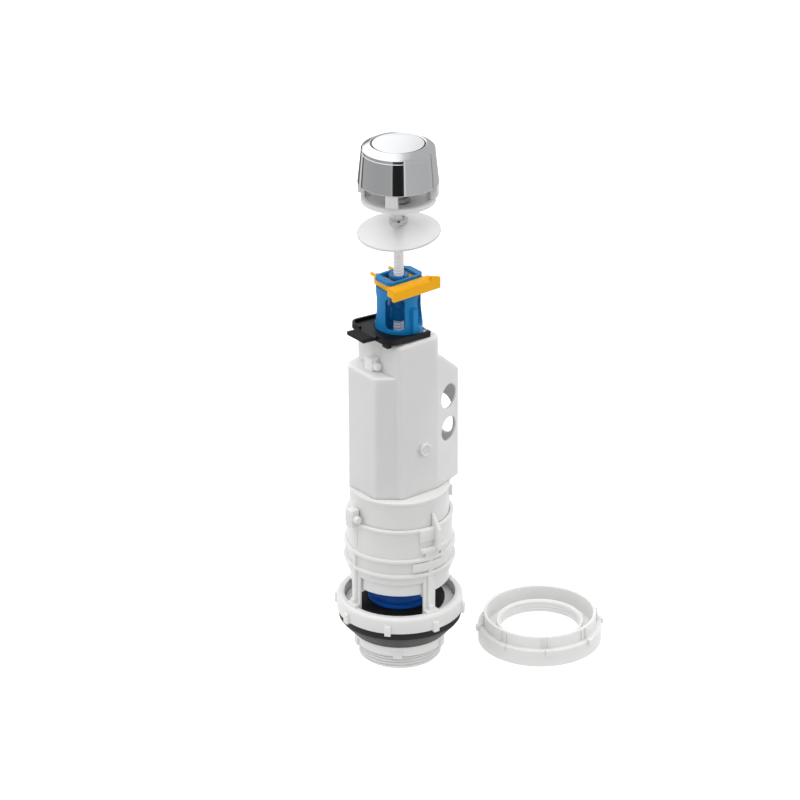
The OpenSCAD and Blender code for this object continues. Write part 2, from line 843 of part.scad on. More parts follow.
module release_slide() {
    color([0.13, 0.13, 0.13])
    translate([slide_right, 0, z_slide])
    rotate([0, slide_tilt, 0])
    translate([-slide_right, 0, 0]) {
        linear_extrude(slide_t)
            difference() {
                slide_plan(0);
                slide_cut();
            }
        linear_extrude(slide_t + slide_rim_h)
            difference() {
                slide_plan(0);
                slide_plan(slide_rim);
                translate([slide_right - slide_rim - 0.5, -neck_bore - 3])
                    square([5, 2 * neck_bore + 6]);
                translate([-slide_left - 1, -grip_w / 2])
                    square([slide_rim + 2, grip_w]);
                slide_cut();
            }
        bar(-slide_left - grip_len, -slide_left + 1, grip_w, 0.4, slide_t);
        for (i = [0:grip_n - 1])
            bar(-slide_left - grip_len + i * (grip_len - 1) / grip_n,
                -slide_left - grip_len + i * (grip_len - 1) / grip_n + grip_rib,
                grip_w, slide_t - eps, slide_t + grip_rib);
        translate([-neck_left - 2 * run - foot_t, -slide_half + foot_back, -foot_drop])
            cube([foot_t, foot_w, foot_drop + join]);
    }
}

module light_cut() {
    rotate([90, 0, 90])
        linear_extrude(tower_d) {
            w = light_w / 2 - light_r;
            h = light_h - light_r;
            for (x = [-w, w], y = [light_r, h])
                translate([x, y])
                    circle(light_r, $fn = 32);
            translate([-w, 0])
                square([2 * w, light_h]);
            translate([-light_w / 2, light_r])
                square([light_w, light_h - 2 * light_r]);
        }
}

module head_plan() {
    x = head_x / 2;
    y = head_y / 2;
    polygon([[-x, -y + head_cut], [-x + head_cut, -y], [x - head_cut, -y], [x, -y + head_cut],
             [x, y - head_cut], [x - head_cut, y], [-x + head_cut, y], [-x, y - head_cut]]);
}

module carriage() {
    color([0.07, 0.43, 0.71])
    difference() {
        union() {
            rotate_extrude()
                polygon([[0, z_skirt], [skirt_d / 2, z_skirt], [skirt_d / 2, z_flare + flare_up / 3],
                         [tower_d / 2, z_flare + flare_up], [tower_d / 2, z_deck], [0, z_deck]]);
            for (s = [-1, 1])
                rotate([0, 0, 90 * s])
                    bar(tower_d / 2 - 1, tower_d / 2 + guide_out, guide_w, z_flare - 0.4, z_flare + guide_h);
            for (s = [-1, 1])
                translate([0, s * (head_y - pillar_t) / 2, (z_deck + z_head) / 2])
                    cube([pillar_w, pillar_t, z_head - z_deck + 2 * join], center = true);
            translate([0, 0, z_head])
                linear_extrude(head_t)
                    difference() {
                        head_plan();
                        square([head_open_x, head_open_y], center = true);
                    }
            legs();
        }
        translate([0, 0, z_skirt - 1])
            cylinder(d = skirt_d - 2 * tower_t, h = z_flare - z_skirt + 1);
        translate([0, 0, z_flare - eps])
            cylinder(d = tower_d - 2 * tower_t, h = z_deck - deck_t - z_flare);
        translate([0, 0, z_deck - deck_t - 1])
            cylinder(d = nut_d + 2 * fit, h = deck_t + 2);
        translate([0, 0, z_neck + light_up])
            around(4, light_turn)
                light_cut();
    }
}

module legs() {
    slot_x = in_x - pin_d / 2 - pin_slack - run;
    x0 = slot_x - leg_wall;
    translate([x0, -leg_in - leg_t, z_skirt])
        cube([leg_w, 2 * (leg_in + leg_t), 4]);
    for (s = [-1, 1])
        difference() {
            translate([x0, s > 0 ? leg_in : -leg_in - leg_t, in_z - pin_d / 2 - 3])
                cube([leg_w, leg_t, z_skirt + 1 - in_z + pin_d / 2 + 3]);
            translate([slot_x, s * (leg_in + leg_t / 2) - leg_t, in_z - pin_d / 2 - 0.2])
                cube([leg_w, 2 * leg_t, pin_d + 0.4]);
        }
}

module rod_nut() {
    z_flange = z_head + fit;
    color([0.03, 0.24, 0.52])
    difference() {
        union() {
            translate([0, 0, z_flange])
                cylinder(d = nut_flange_d, h = nut_flange_h);
            translate([0, 0, z_flange - nut_len])
                cylinder(d = nut_d, h = nut_len + eps);
            translate([0, 0, z_deck - deck_t - fit - nut_collar_h])
                cylinder(d = nut_collar_d, h = nut_collar_h);
        }
        translate([0, 0, z_flange - nut_len - 1])
            cylinder(r = nut_bore, h = nut_len + nut_flange_h + 2);
        rotate([0, 0, -90])
            bar(0, nut_d, nut_slit, z_deck + 1, z_head_top + 2);
    }
}

// Front lip of the fork, seen along +X, with its upper front edge rounded
module lip_section() {
    top = fork_t + lip_up;
    translate([-fork_front + lip_round, 0])
        square([lip_deep - lip_round, top]);
    translate([-fork_front, 0])
        square([lip_deep, top - lip_round]);
    translate([-fork_front, fork_t - fork_flange_h])
        square([fork_flange_t, fork_flange_h - join]);
    intersection() {
        translate([-fork_front + lip_round, top - lip_round])
            circle(lip_round);
        translate([-fork_front, 0])
            square([lip_deep, top]);
    }
}

// Thumb tab, seen from the front, with its top falling to the right
module thumb_plan() {
    low = fork_t - fork_flange_h;
    x = fork_right - thumb_w;
    polygon([[x, low], [fork_right, low], [fork_right, fork_t + thumb_up - thumb_fall], [x, fork_t + thumb_up]]);
}

module locking_fork() {
    inner = nut_d / 2 + 0.4;
    side = head_x / 2 - 0.5;
    arm_end = fork_back - finger_len;
    color([0.99, 0.70, 0.08])
    translate([0, 0, z_fork]) {
        linear_extrude(fork_t)
            difference() {
                polygon([[-side, -fork_front + lip_round + join], [side + 1, -fork_front + lip_round + join],
                         [side - 2, head_y / 2 + 1], [inner + arm_tip_w, arm_end],
                         [-inner - arm_tip_w, arm_end], [-side + 2, head_y / 2 + 1]]);
                translate([-inner, -head_y / 2 - 0.5])
                    square([2 * inner, big]);
            }
        translate([-fork_left, 0, 0])
            rotate([90, 0, 90])
                linear_extrude(fork_left + lip_right)
                    lip_section();
        translate([0, -fork_front + fork_flange_t, 0])
            rotate([90, 0, 0])
                linear_extrude(fork_flange_t)
                    thumb_plan();
        for (x = [-1, 1])
            translate([x * (inner + arm_tip_w / 2), arm_end - 1, fork_t - finger_d / 2 - 0.4])
                rotate([-90, 0, 0])
                    cylinder(d = finger_d, h = finger_len + 1);
    }
}

module push_rod() {
    color([0.9, 0.9, 0.9])
    translate([0, 0, rod_low])
        cylinder(d = rod_d, h = z_button - button_skirt - 6 - rod_low);
}

module button_stem() {
    low = z_bowl + crown_t + press + 0.5;
    top = z_button - 2.5;
    color("white")
    difference() {
        union() {
            translate([0, 0, low])
                cylinder(d = stem_d, h = top - low);
            translate([0, 0, top - 2.5])
                cylinder(d = button_d - 4, h = 2.5);
        }
        translate([0, 0, low - 1])
            cylinder(r = rod_d / 2 + fit, h = z_button - button_skirt - 6 - low + 1 + fit);
    }
}

module push_button() {
    edge = button_d / 2;
    sag = button_dome;
    dome_r = (edge * edge + sag * sag) / (2 * sag);
    color([0.8, 0.8, 0.82])
    difference() {
        intersection() {
            translate([0, 0, z_button - button_skirt])
                cylinder(d = button_d, h = button_skirt + 2);
            translate([0, 0, z_button + 0.4 - dome_r])
                sphere(dome_r, $fn = 200);
        }
        translate([0, 0, z_button - button_skirt - 1])
            cylinder(d = button_d - 2.4, h = button_skirt + 1 - 2.4);
    }
}

module button_spring() {
    color([0.7, 0.7, 0.72])
    translate([0, 0, z_bowl + crown_t + fit])
        ring(spring_d, spring_d - 2 * spring_wire, z_button - 5 - fit - z_bowl - crown_t - fit);
}

module button_bezel() {
    r0 = bezel_d / 2;
    r1 = bezel_top_d / 2;
    z1 = bezel_h;
    z2 = bezel_h + bevel_h;
    lip = 6.5;
    color([0.8, 0.8, 0.82])
    translate([0, 0, bezel_z])
        rotate_extrude()
            polygon([[r0, 0], [r1 + 0.3, z1 - 2], [r1 + 0.3, z1 - 1.2], [r1, z1 - 0.4], [r1 - 0.7, z1 + 0.4],
                     [bezel_in + 0.6, z2], [bezel_in, z2 - 0.5], [bezel_in, z2 - lip], [bezel_in + bezel_t, z2 - lip],
                     [bezel_in + bezel_t, z2 - bezel_t - 0.6], [r1 - bezel_t - 0.6, z1 - 1.2], [r0 - bezel_t, 0]]);
}

module button_crown() {
    r = crown_d / 2;
    bowl = crown_bowl_d / 2;
    neck = neck_d / 2;
    bore = rod_d / 2 + 0.5;
    color("white")
    difference() {
        union() {
            rotate_extrude()
                polygon([[bore, z_bowl - neck_drop], [neck, z_bowl - neck_drop], [bowl, z_bowl],
                         [r - crown_post_t, z_crown], [r, z_crown], [r, z_crown + crown_ring_h],
                         [r - crown_post_t, z_crown + crown_ring_h], [r - crown_post_t, z_crown + crown_t],
                         [bowl + 2, z_bowl + crown_t], [bore, z_bowl + crown_t]]);
            around(4, crown_turn)
                crown_post(r);
            translate([0, 0, bezel_z + hold_up])
                ring(2 * hold_r, 2 * (hold_r - hold_t), hold_h);
        }
        translate([0, 0, z_bowl - neck_drop + 1])
            around(3, 30)
                bar(bore - 1, neck + 5, 2, 0, 2.2);
    }
}

// Post of the crown: a leg up into the bezel and a hook block under the bezel's edge
module crown_post(r) {
    top = bezel_z - 0.2;
    bar(r - crown_post_t - 3, r - 1, 1.8, z_crown + 1, z_crown + 8);
    intersection() {
        bar(r - crown_post_t, r, crown_post_w, z_crown + 1, bezel_z + hold_up + hold_h);
        translate([0, 0, z_crown])
            cylinder(r = hold_r, h = big);
    }
    intersection() {
        bar(r - crown_post_t, bezel_d / 2, crown_post_w, top - crown_hook_h, top);
        translate([0, 0, z_crown])
            cylinder(r = bezel_d / 2 - 0.2, h = big);
    }
}

module neck_clip() {
    color([0.75, 0.75, 0.77])
    translate([0, 0, z_clip])
        ring(clip_d, rod_d + 1, clip_h - fit);
}

module splash_disc() {
    r = disc_d / 2;
    color([0.9, 0.9, 0.92])
    translate([0, 0, z_disc])
        rotate([0, 0, disc_tilt_turn])
            rotate([disc_tilt, 0, 0])
                rotate_extrude()
                    polygon([[rod_d / 2 + 0.7, 0], [clip_d / 2, 0], [r - 0.6, -disc_h + disc_t], [r, -disc_h + 0.8],
                             [r, -disc_h - 0.6], [r - 1.4, -disc_h - 0.6], [clip_d / 2, -disc_t], [rod_d / 2 + 0.7, -disc_t]]);
}

module rocker() {
    color("white")
    translate([boss_x, 0, z_boss])
        rotate([0, throw, 0]) {
            for (s = [-1, 1])
                rocker_cheek(s);
            rotate([90, 0, 0])
                translate([-tie_out, 0, 0])
                    cylinder(d = pin_d, h = arm_in + 2 * eps, center = true);
        }
}

module rocker_cheek(s) {
    mid = s * (arm_in + arm_t) / 2;
    translate([0, mid, 0])
        rotate([90, 0, 0])
            linear_extrude(arm_t, center = true) {
                for (x = [-arm_len, 0, arm_len])
                    translate([x, 0])
                        circle(d = arm_h);
                translate([-arm_len, -arm_h / 2])
                    square([2 * arm_len, arm_h]);
                translate([-tie_out, -tail_h / 2])
                    square([tie_out, tail_h]);
                translate([-tie_out, 0])
                    circle(d = tail_h);
            }
    pin(s, 0, axle_d, arm_in / 2, half_y + boss_out - 0.4);
    pin(s, -arm_len, pin_d, arm_in / 2, leg_in + leg_t);
    pin(s, arm_len, pin_d, tube_d / 2 + 0.6, arm_in / 2 + 0.5);
}

module pin(s, x, d, from, to) {
    translate([x, s * from, 0])
        rotate([-90 * s, 0, 0])
            cylinder(d = d, h = to - from);
}

module overflow_tube() {
    low = z_seat + 0.1 - retainer_t;
    color("white")
    translate([0, 0, low])
        ring(tube_d, tube_d - 2 * tube_t, tube_top - low);
}

module valve_seal() {
    color([0.09, 0.09, 0.09])
    translate([0, 0, z_seat + 0.1])
        ring(seal_d, 2 * tube_fit, seal_t);
}

module seal_holder() {
    low = z_seat + 0.1 + seal_t;
    color([0.08, 0.24, 0.52])
    difference() {
        union() {
            translate([0, 0, low])
                cylinder(d = holder_d, h = holder_t);
            translate([0, 0, low + holder_t - eps])
                cylinder(d1 = tube_d + 10, d2 = tube_d + 4, h = holder_hub);
        }
        translate([0, 0, low - 1])
            cylinder(r = tube_fit, h = holder_hub + holder_t + 2);
    }
}

module seal_retainer() {
    color("white")
    translate([0, 0, z_seat + 0.1 - retainer_t])
        ring(retainer_d, 2 * tube_fit, retainer_t);
}

module float_cup() {
    color([0.08, 0.24, 0.52])
    translate([0, 0, z_cyl + float_up])
        rotate_extrude()
            polygon([[tube_fit, 0], [float_d / 2, 0], [float_d / 2, float_h], [float_d / 2 - float_t, float_h],
                     [float_d / 2 - float_t, float_t], [tube_fit + float_t, float_t],
                     [tube_fit + float_t, float_h], [tube_fit, float_h]]);
}

module lift_collar() {
    ear_w = arm_in - 1;
    color("white")
    difference() {
        union() {
            translate([0, 0, out_z - ear_h / 2])
                cylinder(d = tube_d + 3.6, h = ear_h);
            bar(4, ear_x, ear_w, out_z - ear_h / 2, out_z + ear_h / 2);
        }
        translate([0, 0, out_z - ear_h])
            cylinder(r = tube_fit, h = 2 * ear_h);
        bar(out_x - pin_d / 2 - 0.3, out_x + pin_d / 2 + pin_slack + 0.3, big,
            out_z - pin_d / 2 - 0.2, out_z + pin_d / 2 + 0.2);
    }
}

module back_nut() {
    r = nut_skirt_d / 2;
    u = upper_d / 2;
    b = thread_bore / 2;
    color("white")
    translate([nut_x, nut_y, 0]) {
        rotate_extrude()
            polygon([[b, hub_low], [b + hub_t, hub_low], [b + hub_t, web_z], [u - upper_t, web_z],
                     [u - upper_t, skirt_h - 2.4], [r - skirt_t, skirt_h - 2.4], [r - skirt_t, 0], [r, 0],
                     [r, skirt_h - 0.8], [r - 0.8, skirt_h], [u, skirt_h], [u, upper_h], [u - upper_t, upper_h],
                     [u - upper_t, web_z + web_t], [b + hub_t, web_z + web_t], [b + hub_t, hub_top], [b, hub_top]]);
        around(lug_n, 5)
            bar(r - 1, r + nut_lug_proud, lug_w, skirt_h - 5, skirt_h - 0.8 - join);
    }
}

outlet_seat();
base_gasket();
cage();
lower_cylinder();
housing();
release_slide();
carriage();
rod_nut();
locking_fork();
push_rod();
button_stem();
push_button();
button_spring();
button_bezel();
button_crown();
neck_clip();
splash_disc();
rocker();
overflow_tube();
seal_holder();
valve_seal();
seal_retainer();
float_cup();
lift_collar();
back_nut();
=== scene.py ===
"""Push-button flush valve for a toilet cistern, standing on its threaded outlet, its back nut beside it."""

import math

import bmesh
import bpy
import numpy as np
from mathutils import Matrix, Quaternion, Vector


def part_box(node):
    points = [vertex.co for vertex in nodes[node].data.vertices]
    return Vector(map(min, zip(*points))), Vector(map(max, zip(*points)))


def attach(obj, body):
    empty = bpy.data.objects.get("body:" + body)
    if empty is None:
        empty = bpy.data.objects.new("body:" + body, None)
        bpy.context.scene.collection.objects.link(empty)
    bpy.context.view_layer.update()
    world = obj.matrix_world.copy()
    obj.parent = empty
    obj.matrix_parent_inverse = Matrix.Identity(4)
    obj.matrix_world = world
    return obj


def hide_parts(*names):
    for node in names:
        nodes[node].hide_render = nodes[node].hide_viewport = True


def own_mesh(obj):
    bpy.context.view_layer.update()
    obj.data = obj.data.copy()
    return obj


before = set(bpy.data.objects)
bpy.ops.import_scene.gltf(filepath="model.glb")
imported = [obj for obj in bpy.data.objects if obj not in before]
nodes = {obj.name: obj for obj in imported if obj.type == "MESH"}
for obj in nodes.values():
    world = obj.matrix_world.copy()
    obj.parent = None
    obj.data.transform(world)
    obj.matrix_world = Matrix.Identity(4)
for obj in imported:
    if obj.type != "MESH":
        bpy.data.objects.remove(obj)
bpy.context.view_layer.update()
scene = bpy.context.scene


# Studio. A long lens looks down on the valve from its front left corner.
# Light comes from a white tent, dimmer in front and behind than at the sides, and from a wide silk above.
def linear(code):
    """An sRGB hex colour as linear RGBA, by the sRGB curve."""
    c = np.array([int(code[i : i + 2], 16) for i in (1, 3, 5)]) / 255
    return (*np.where(c <= 0.04045, c / 12.92, ((c + 0.055) / 1.055) ** 2.4), 1.0)


def add(tree, kind, inputs=None, **settings):
    """One shader node: its settings, then each input as a value or as a link from another node's output."""
    made = tree.nodes.new("ShaderNode" + kind)
    for key, value in settings.items():
        setattr(made, key, value)
    for key, value in (inputs or {}).items():
        if isinstance(value, bpy.types.NodeSocket):
            tree.links.new(value, made.inputs[key])
        else:
            made.inputs[key].default_value = value
    return made


def grade(ramp, span, stops):
    """Fills a colour ramp with greys. Each stop is a place, counted from the middle of the span,
    and the grey there."""
    marks = ramp.color_ramp.elements
    for spot, grey in stops[1:-1]:
        marks.new(0.5 + spot / span).color = (grey, grey, grey, 1)
    marks[0].color, marks[-1].color = ((grey, grey, grey, 1) for _, grey in (stops[0], stops[-1]))
    return ramp.outputs["Color"]


turn, rise = math.radians(-38), math.radians(25.5)
back = Vector((math.sin(turn) * math.cos(rise), -math.cos(turn) * math.cos(rise), math.sin(rise)))
right = Vector((math.cos(turn), math.sin(turn), 0))
distance, aim_height, aside, roll = 3.472, 0.2007, 0.00064, -0.0036
lens = bpy.data.cameras.new("camera")
lens.sensor_width, lens.lens, lens.clip_end = 36, 220.275, 50
camera = bpy.data.objects.new("camera", lens)
camera.rotation_mode = "QUATERNION"
camera.location = Vector((0, 0, aim_height)) + back * distance + right * aside
camera.rotation_quaternion = (-back).to_track_quat("-Z", "Y") @ Quaternion((0, 0, 1), roll)
scene.collection.objects.link(camera)
scene.camera = camera
scene.view_settings.view_transform = "Standard"

heading = math.atan2(back.y, back.x)
world = bpy.data.worlds.new("white_tent")
world.use_nodes = True
t = world.node_tree
around = add(t, "TexCoord").outputs["Generated"]
ahead = add(t, "Mapping", {"Vector": around, "Rotation": (0, 0, -heading)}).outputs["Vector"]
bearing = add(t, "TexGradient", {"Vector": ahead}, gradient_type="RADIAL").outputs["Fac"]
walls = grade(add(t, "ValToRGB", {"Fac": bearing}), 360, [
    (-180, 0.68), (-100, 1.0), (-70, 1.0), (-35, 0.52), (35, 0.52), (70, 0.85), (100, 0.85), (180, 0.68)])
t.links.new(walls, t.nodes["Background"].inputs["Color"])
scene.world = world

silk = bpy.data.lights.new("overhead_silk", "SUN")
silk.energy, silk.angle = 1.8, math.radians(100)
overhead = bpy.data.objects.new("overhead_silk", silk)
overhead.rotation_mode = "QUATERNION"
overhead.rotation_quaternion = Vector((0.06, 0.12, -1)).to_track_quat("-Z", "Y")
scene.collection.objects.link(overhead)


# Table. White paper that the valve stands on, lit until it shows as plain white.
# A card just under it throws soft light up on the valve. Neither the camera nor a mirror sees the card.
def skin(name, points, closed=(True, True)):
    """A mesh on an (m, n, 3) grid of points in millimetres, one quad to a cell, closed round either way.
    The quads are turned over where the solid's volume, a sum of a . (b x c) over its faces, is negative,
    and points that fall together at a pole are merged, so that their quads become triangles."""
    m, n = points.shape[:2]
    i = np.arange(m if closed[0] else m - 1)[:, None]
    j = np.arange(n if closed[1] else n - 1)[None, :]
    row, next_row, next_j = i * n, (i + 1) % m * n, (j + 1) % n
    quads = np.stack([row + j, row + next_j, next_row + next_j, next_row + j], -1).reshape(-1, 4)
    flat = points.reshape(-1, 3) / 1000
    a, b, c, d = (flat[quads[:, k]] for k in range(4))
    if np.sum(a * (np.cross(b, c) + np.cross(c, d))) < 0:
        quads = quads[:, ::-1]
    flat, same = np.unique(np.round(flat, 8), axis=0, return_inverse=True)
    quads = same.reshape(-1)[quads]
    thin = quads == np.roll(quads, -1, 1)
    spare = np.argsort(thin[thin.any(1)], axis=1)[:, ::-1][:, 0]
    keep = np.arange(4)[None, :] != spare[:, None]
    faces = quads[~thin.any(1)].tolist() + quads[thin.any(1)][keep].reshape(-1, 3).tolist()
    mesh = bpy.data.meshes.new(name)
    mesh.from_pydata(flat, [], faces)
    mesh.polygons.foreach_set("use_smooth", np.ones(len(faces), bool))
    made = bpy.data.objects.new(name, mesh)
    scene.collection.objects.link(made)
    return made


# Table paper: matt white, with fibres that only just break up its sheen.
paper = bpy.data.materials.new("white_table_paper")
paper.use_nodes = True
t = paper.node_tree
shade = t.nodes["Principled BSDF"]
shade.inputs["Base Color"].default_value = linear("#A8A8A8")
shade.inputs["Roughness"].default_value = 0.9
shade.inputs["Specular IOR Level"].default_value = 0.1
shade.inputs["Emission Color"].default_value = linear("#FFFFFF")
shade.inputs["Emission Strength"].default_value = 0.92
at, fibre_mm = add(t, "TexCoord").outputs["Object"], 1.1
fibres = add(t, "TexNoise", {"Vector": at, "Scale": 1000 / fibre_mm, "Detail": 2.0}).outputs["Fac"]
rough = add(t, "Bump", {"Height": fibres, "Strength": 0.1, "Distance": 0.0001}).outputs["Normal"]
t.links.new(rough, shade.inputs["Normal"])
side, below = np.linspace(-6000, 6000, 25), -0.05
floor = skin("table", np.stack(np.broadcast_arrays(side[:, None], side[None, :], below), -1), (False, False))
floor.data.materials.append(paper)
floor.visible_diffuse = False

# Lit card: a plain white glow.
lit_card = bpy.data.materials.new("lit_white_card")
lit_card.use_nodes = True
shade = lit_card.node_tree.nodes["Principled BSDF"]
shade.inputs["Base Color"].default_value = linear("#202020")
shade.inputs["Emission Color"].default_value = linear("#FFFFFF")
shade.inputs["Emission Strength"].default_value = 0.8
r, a = np.linspace(20, 300, 8)[:, None], np.linspace(0, 2 * np.pi, 48, endpoint=False)[None, :]
below = -0.4
spread = np.stack(np.broadcast_arrays(r * np.cos(a), r * np.sin(a), below), -1)
card = skin("table_card", spread, (False, True))
card.visible_camera = card.visible_glossy = card.visible_transmission = card.visible_shadow = False
card.data.materials.append(lit_card)


# Mirrored tent. What the chrome shows is a tent round the table: a black slit for the lens with white edges,
# grey cloth beside it, and a roof of white silk that greys to the right. Only mirrored rays see it,
# so it casts no light and no shade.
def turned(profile, count=128):
    """A closed profile carried round the Z axis: x = r cos a, y = r sin a, z = h."""
    a = np.linspace(0, 2 * np.pi, count, endpoint=False)[None, :]
    r, h = profile[:, :1], profile[:, 1:]
    return np.stack(np.broadcast_arrays(r * np.cos(a), r * np.sin(a), h), -1)


outline = np.array([[600.0, 0.5], [900.0, 0.6], [900.0, 700.0], [600.0, 1200.0], [2.0, 1500.0]])
tent = skin("mirrored_tent", turned(outline, 96), (False, True))
tent.visible_camera = tent.visible_diffuse = tent.visible_shadow = False
tent.visible_transmission = tent.visible_volume_scatter = False

# Tent cloth: bands of grey and white round the walls, by bearing from the lens.
# The silk above goes by metres to the lens's right.
cloth = bpy.data.materials.new("grey_and_white_tent_cloth")
cloth.use_nodes = True
t = cloth.node_tree
t.nodes.clear()
at = add(t, "TexCoord").outputs["Object"]
ahead = add(t, "Mapping", {"Vector": at, "Rotation": (0, 0, -heading)}).outputs["Vector"]
bearing = add(t, "TexGradient", {"Vector": ahead}, gradient_type="RADIAL").outputs["Fac"]
bands = grade(add(t, "ValToRGB", {"Fac": bearing}), 360, [
    (-180, 0.3), (-160, 0.1), (-146, 0.1), (-142, 0.6), (-134, 0.6), (-130, 0.08), (-124, 0.08), (-121, 0.33),
    (-60, 0.3), (-20, 0.31), (-17.5, 0.45), (-16, 0.012), (10, 0.012), (16, 0.03), (17, 0.7), (19, 0.7),
    (20.5, 0.4), (90, 0.38), (112, 0.4), (114, 0.2), (117, 0.2), (119, 0.4), (180, 0.33)])
middle = (0.5, 0, 0)
across = add(t, "Mapping", {"Vector": at, "Rotation": (0, 0, -turn), "Location": middle}).outputs["Vector"]
slope = add(t, "TexGradient", {"Vector": across}).outputs["Fac"]
ceiling = grade(add(t, "ValToRGB", {"Fac": slope}), 1, [
    (-0.5, 1.0), (-0.1, 1.0), (0.02, 0.86), (0.15, 0.56), (0.3, 0.4), (0.5, 0.4)])
height = add(t, "SeparateXYZ", {"Vector": at}).outputs["Z"]
roof = add(t, "MapRange", {"Value": height, "From Min": 0.45, "From Max": 0.65}).outputs["Result"]
glow = add(t, "MixRGB", {"Fac": roof, "Color1": bands, "Color2": ceiling}).outputs["Color"]
lit = add(t, "Emission", {"Color": glow, "Strength": 1.5}).outputs["Emission"]
t.links.new(lit, add(t, "OutputMaterial").inputs["Surface"])
tent.data.materials.append(cloth)


# Outlet. One white polypropylene moulding: a threaded tail, a collar with centring keys under its lip,
# a hub that carries the gasket, and the seat that the valve closes on.
def plastic(name, colour, shade_colour, roughness, grain_mm, depth_mm, ior=1.49, edge_mm=0.5, **sockets):
    """Injection-moulded plastic. The mould's fine eroded grain is a bump, drawn coarser than life to show,
    slow flow marks vary its gloss and its tone a little, and edges catch light as if rounded."""
    flow_mm = 20
    made = bpy.data.materials.new(name)
    made.use_nodes = True
    t = made.node_tree
    t.nodes.clear()
    at = add(t, "TexCoord").outputs["Object"]
    marks = {"Vector": at, "Scale": 1000 / flow_mm, "Detail": 3.0, "Distortion": 0.6}
    flow = add(t, "TexNoise", marks).outputs["Fac"]
    fine = add(t, "TexNoise", {"Vector": at, "Scale": 1000 / grain_mm, "Detail": 2.0}).outputs["Fac"]
    tints = {"Color1": linear(colour), "Color2": linear(shade_colour)}
    tone = add(t, "MixRGB", {"Fac": flow, **tints}).outputs["Color"]
    sheen = {"From Min": 0.3, "From Max": 0.7, "To Min": roughness - 0.05, "To Max": roughness + 0.05}
    gloss = add(t, "MapRange", {"Value": flow, **sheen}).outputs["Result"]
    edge = add(t, "Bevel", {"Radius": edge_mm / 1000}, samples=4).outputs["Normal"]
    grain = {"Height": fine, "Strength": 0.5, "Distance": depth_mm / 1000, "Normal": edge}
    relief = add(t, "Bump", grain).outputs["Normal"]
    others = {key.replace("_", " "): value for key, value in sockets.items()}
    finish = {"Base Color": tone, "Roughness": gloss, "Normal": relief, "IOR": ior, **others}
    body = add(t, "BsdfPrincipled", finish).outputs["BSDF"]
    t.links.new(body, add(t, "OutputMaterial").inputs["Surface"])
    return made


corner_rows = 5


def rounded(corners, steps=corner_rows):
    """A closed profile of (radius, height, fillet) corners in millimetres, each corner turned into an arc.
    It starts r / tan(half the corner's angle) from the corner, about a centre r / sin(half) away."""
    least_r, most_of_side = 0.02, 0.48
    c = np.array(corners, float)
    p, r = c[:, :2], np.maximum(c[:, 2], least_r)
    to_a, to_b = np.roll(p, 1, 0) - p, np.roll(p, -1, 0) - p
    len_a, len_b = np.linalg.norm(to_a, axis=1), np.linalg.norm(to_b, axis=1)
    a, b = to_a / len_a[:, None], to_b / len_b[:, None]
    half = np.arccos(np.clip(np.sum(a * b, 1), -0.9999, 0.9999)) / 2
    reach = np.minimum(r / np.tan(half), most_of_side * np.minimum(len_a, len_b))
    r = reach * np.tan(half)
    centre = p + (a + b) / np.linalg.norm(a + b, axis=1)[:, None] * (r / np.sin(half))[:, None]
    u, v = p + a * reach[:, None] - centre, p + b * reach[:, None] - centre
    swing = np.pi - 2 * half
    f = np.linspace(0, 1, steps)[None, :, None]
    w = swing[:, None, None]
    arc = (np.sin((1 - f) * w) * u[:, None] + np.sin(f * w) * v[:, None]) / np.sin(w)
    return (centre[:, None] + arc).reshape(-1, 2)


def place(made, body, slot, material, *replaced):
    """Gives a new piece its finish and its body, and hides the CAD nodes it stands for. Its slot is not used.
    """
    made.data.materials.append(material)
    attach(made, body)
    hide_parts(*replaced)
    return made


def cut_thread(grid, first, count, depth, pitch):
    """Raises some rows of a turned grid into a screw: the radius grows by depth times a clipped cosine of
    2 pi z / pitch - a, and the thread fades out over 0.4 of a pitch at both ends."""
    rows = slice(first, first + count)
    x, y, z = (grid[rows, :, k] for k in range(3))
    wave = np.clip(0.5 + 0.75 * np.cos(2 * np.pi * z / pitch - np.arctan2(y, x)), 0, 1)
    fade = np.clip(np.minimum(z - z.min(), z.max() - z) / (0.4 * pitch), 0, 1)
    grid[rows, :, :2] *= (1 + depth * wave * fade / np.hypot(x, y))[..., None]
    return grid


def blocks(name, sizes, edge):
    """Bars (x from, x to, width, z from, z to, turn in degrees), laid out along X and turned about Z:
    each is the unit cube's eight corners stretched to its size, and a bevel rounds its edges."""
    q = np.array(sizes, float)
    x = np.array([0, 1, 1, 0, 0, 1, 1, 0])
    y = np.array([-0.5, -0.5, 0.5, 0.5, -0.5, -0.5, 0.5, 0.5])
    z = np.array([0, 0, 0, 0, 1, 1, 1, 1])
    px, py = q[:, :1] + x * (q[:, 1:2] - q[:, :1]), y * q[:, 2:3]
    pz = q[:, 3:4] + z * (q[:, 4:5] - q[:, 3:4])
    c, d = np.cos(np.radians(q[:, 5:])), np.sin(np.radians(q[:, 5:]))
    flat = np.stack([px * c - py * d, px * d + py * c, pz], -1).reshape(-1, 3) / 1000
    face = np.array([[3, 2, 1, 0], [4, 5, 6, 7], [0, 1, 5, 4], [1, 2, 6, 5], [2, 3, 7, 6], [3, 0, 4, 7]])
    mesh = bpy.data.meshes.new(name)
    mesh.from_pydata(flat, [], (face[None] + 8 * np.arange(len(q))[:, None, None]).reshape(-1, 4))
    mesh.polygons.foreach_set("use_smooth", np.ones(6 * len(q), bool))
    made = bpy.data.objects.new(name, mesh)
    scene.collection.objects.link(made)
    soft = made.modifiers.new("edges", "BEVEL")
    soft.width, soft.segments, soft.harden_normals = edge / 1000, 3, True
    return made


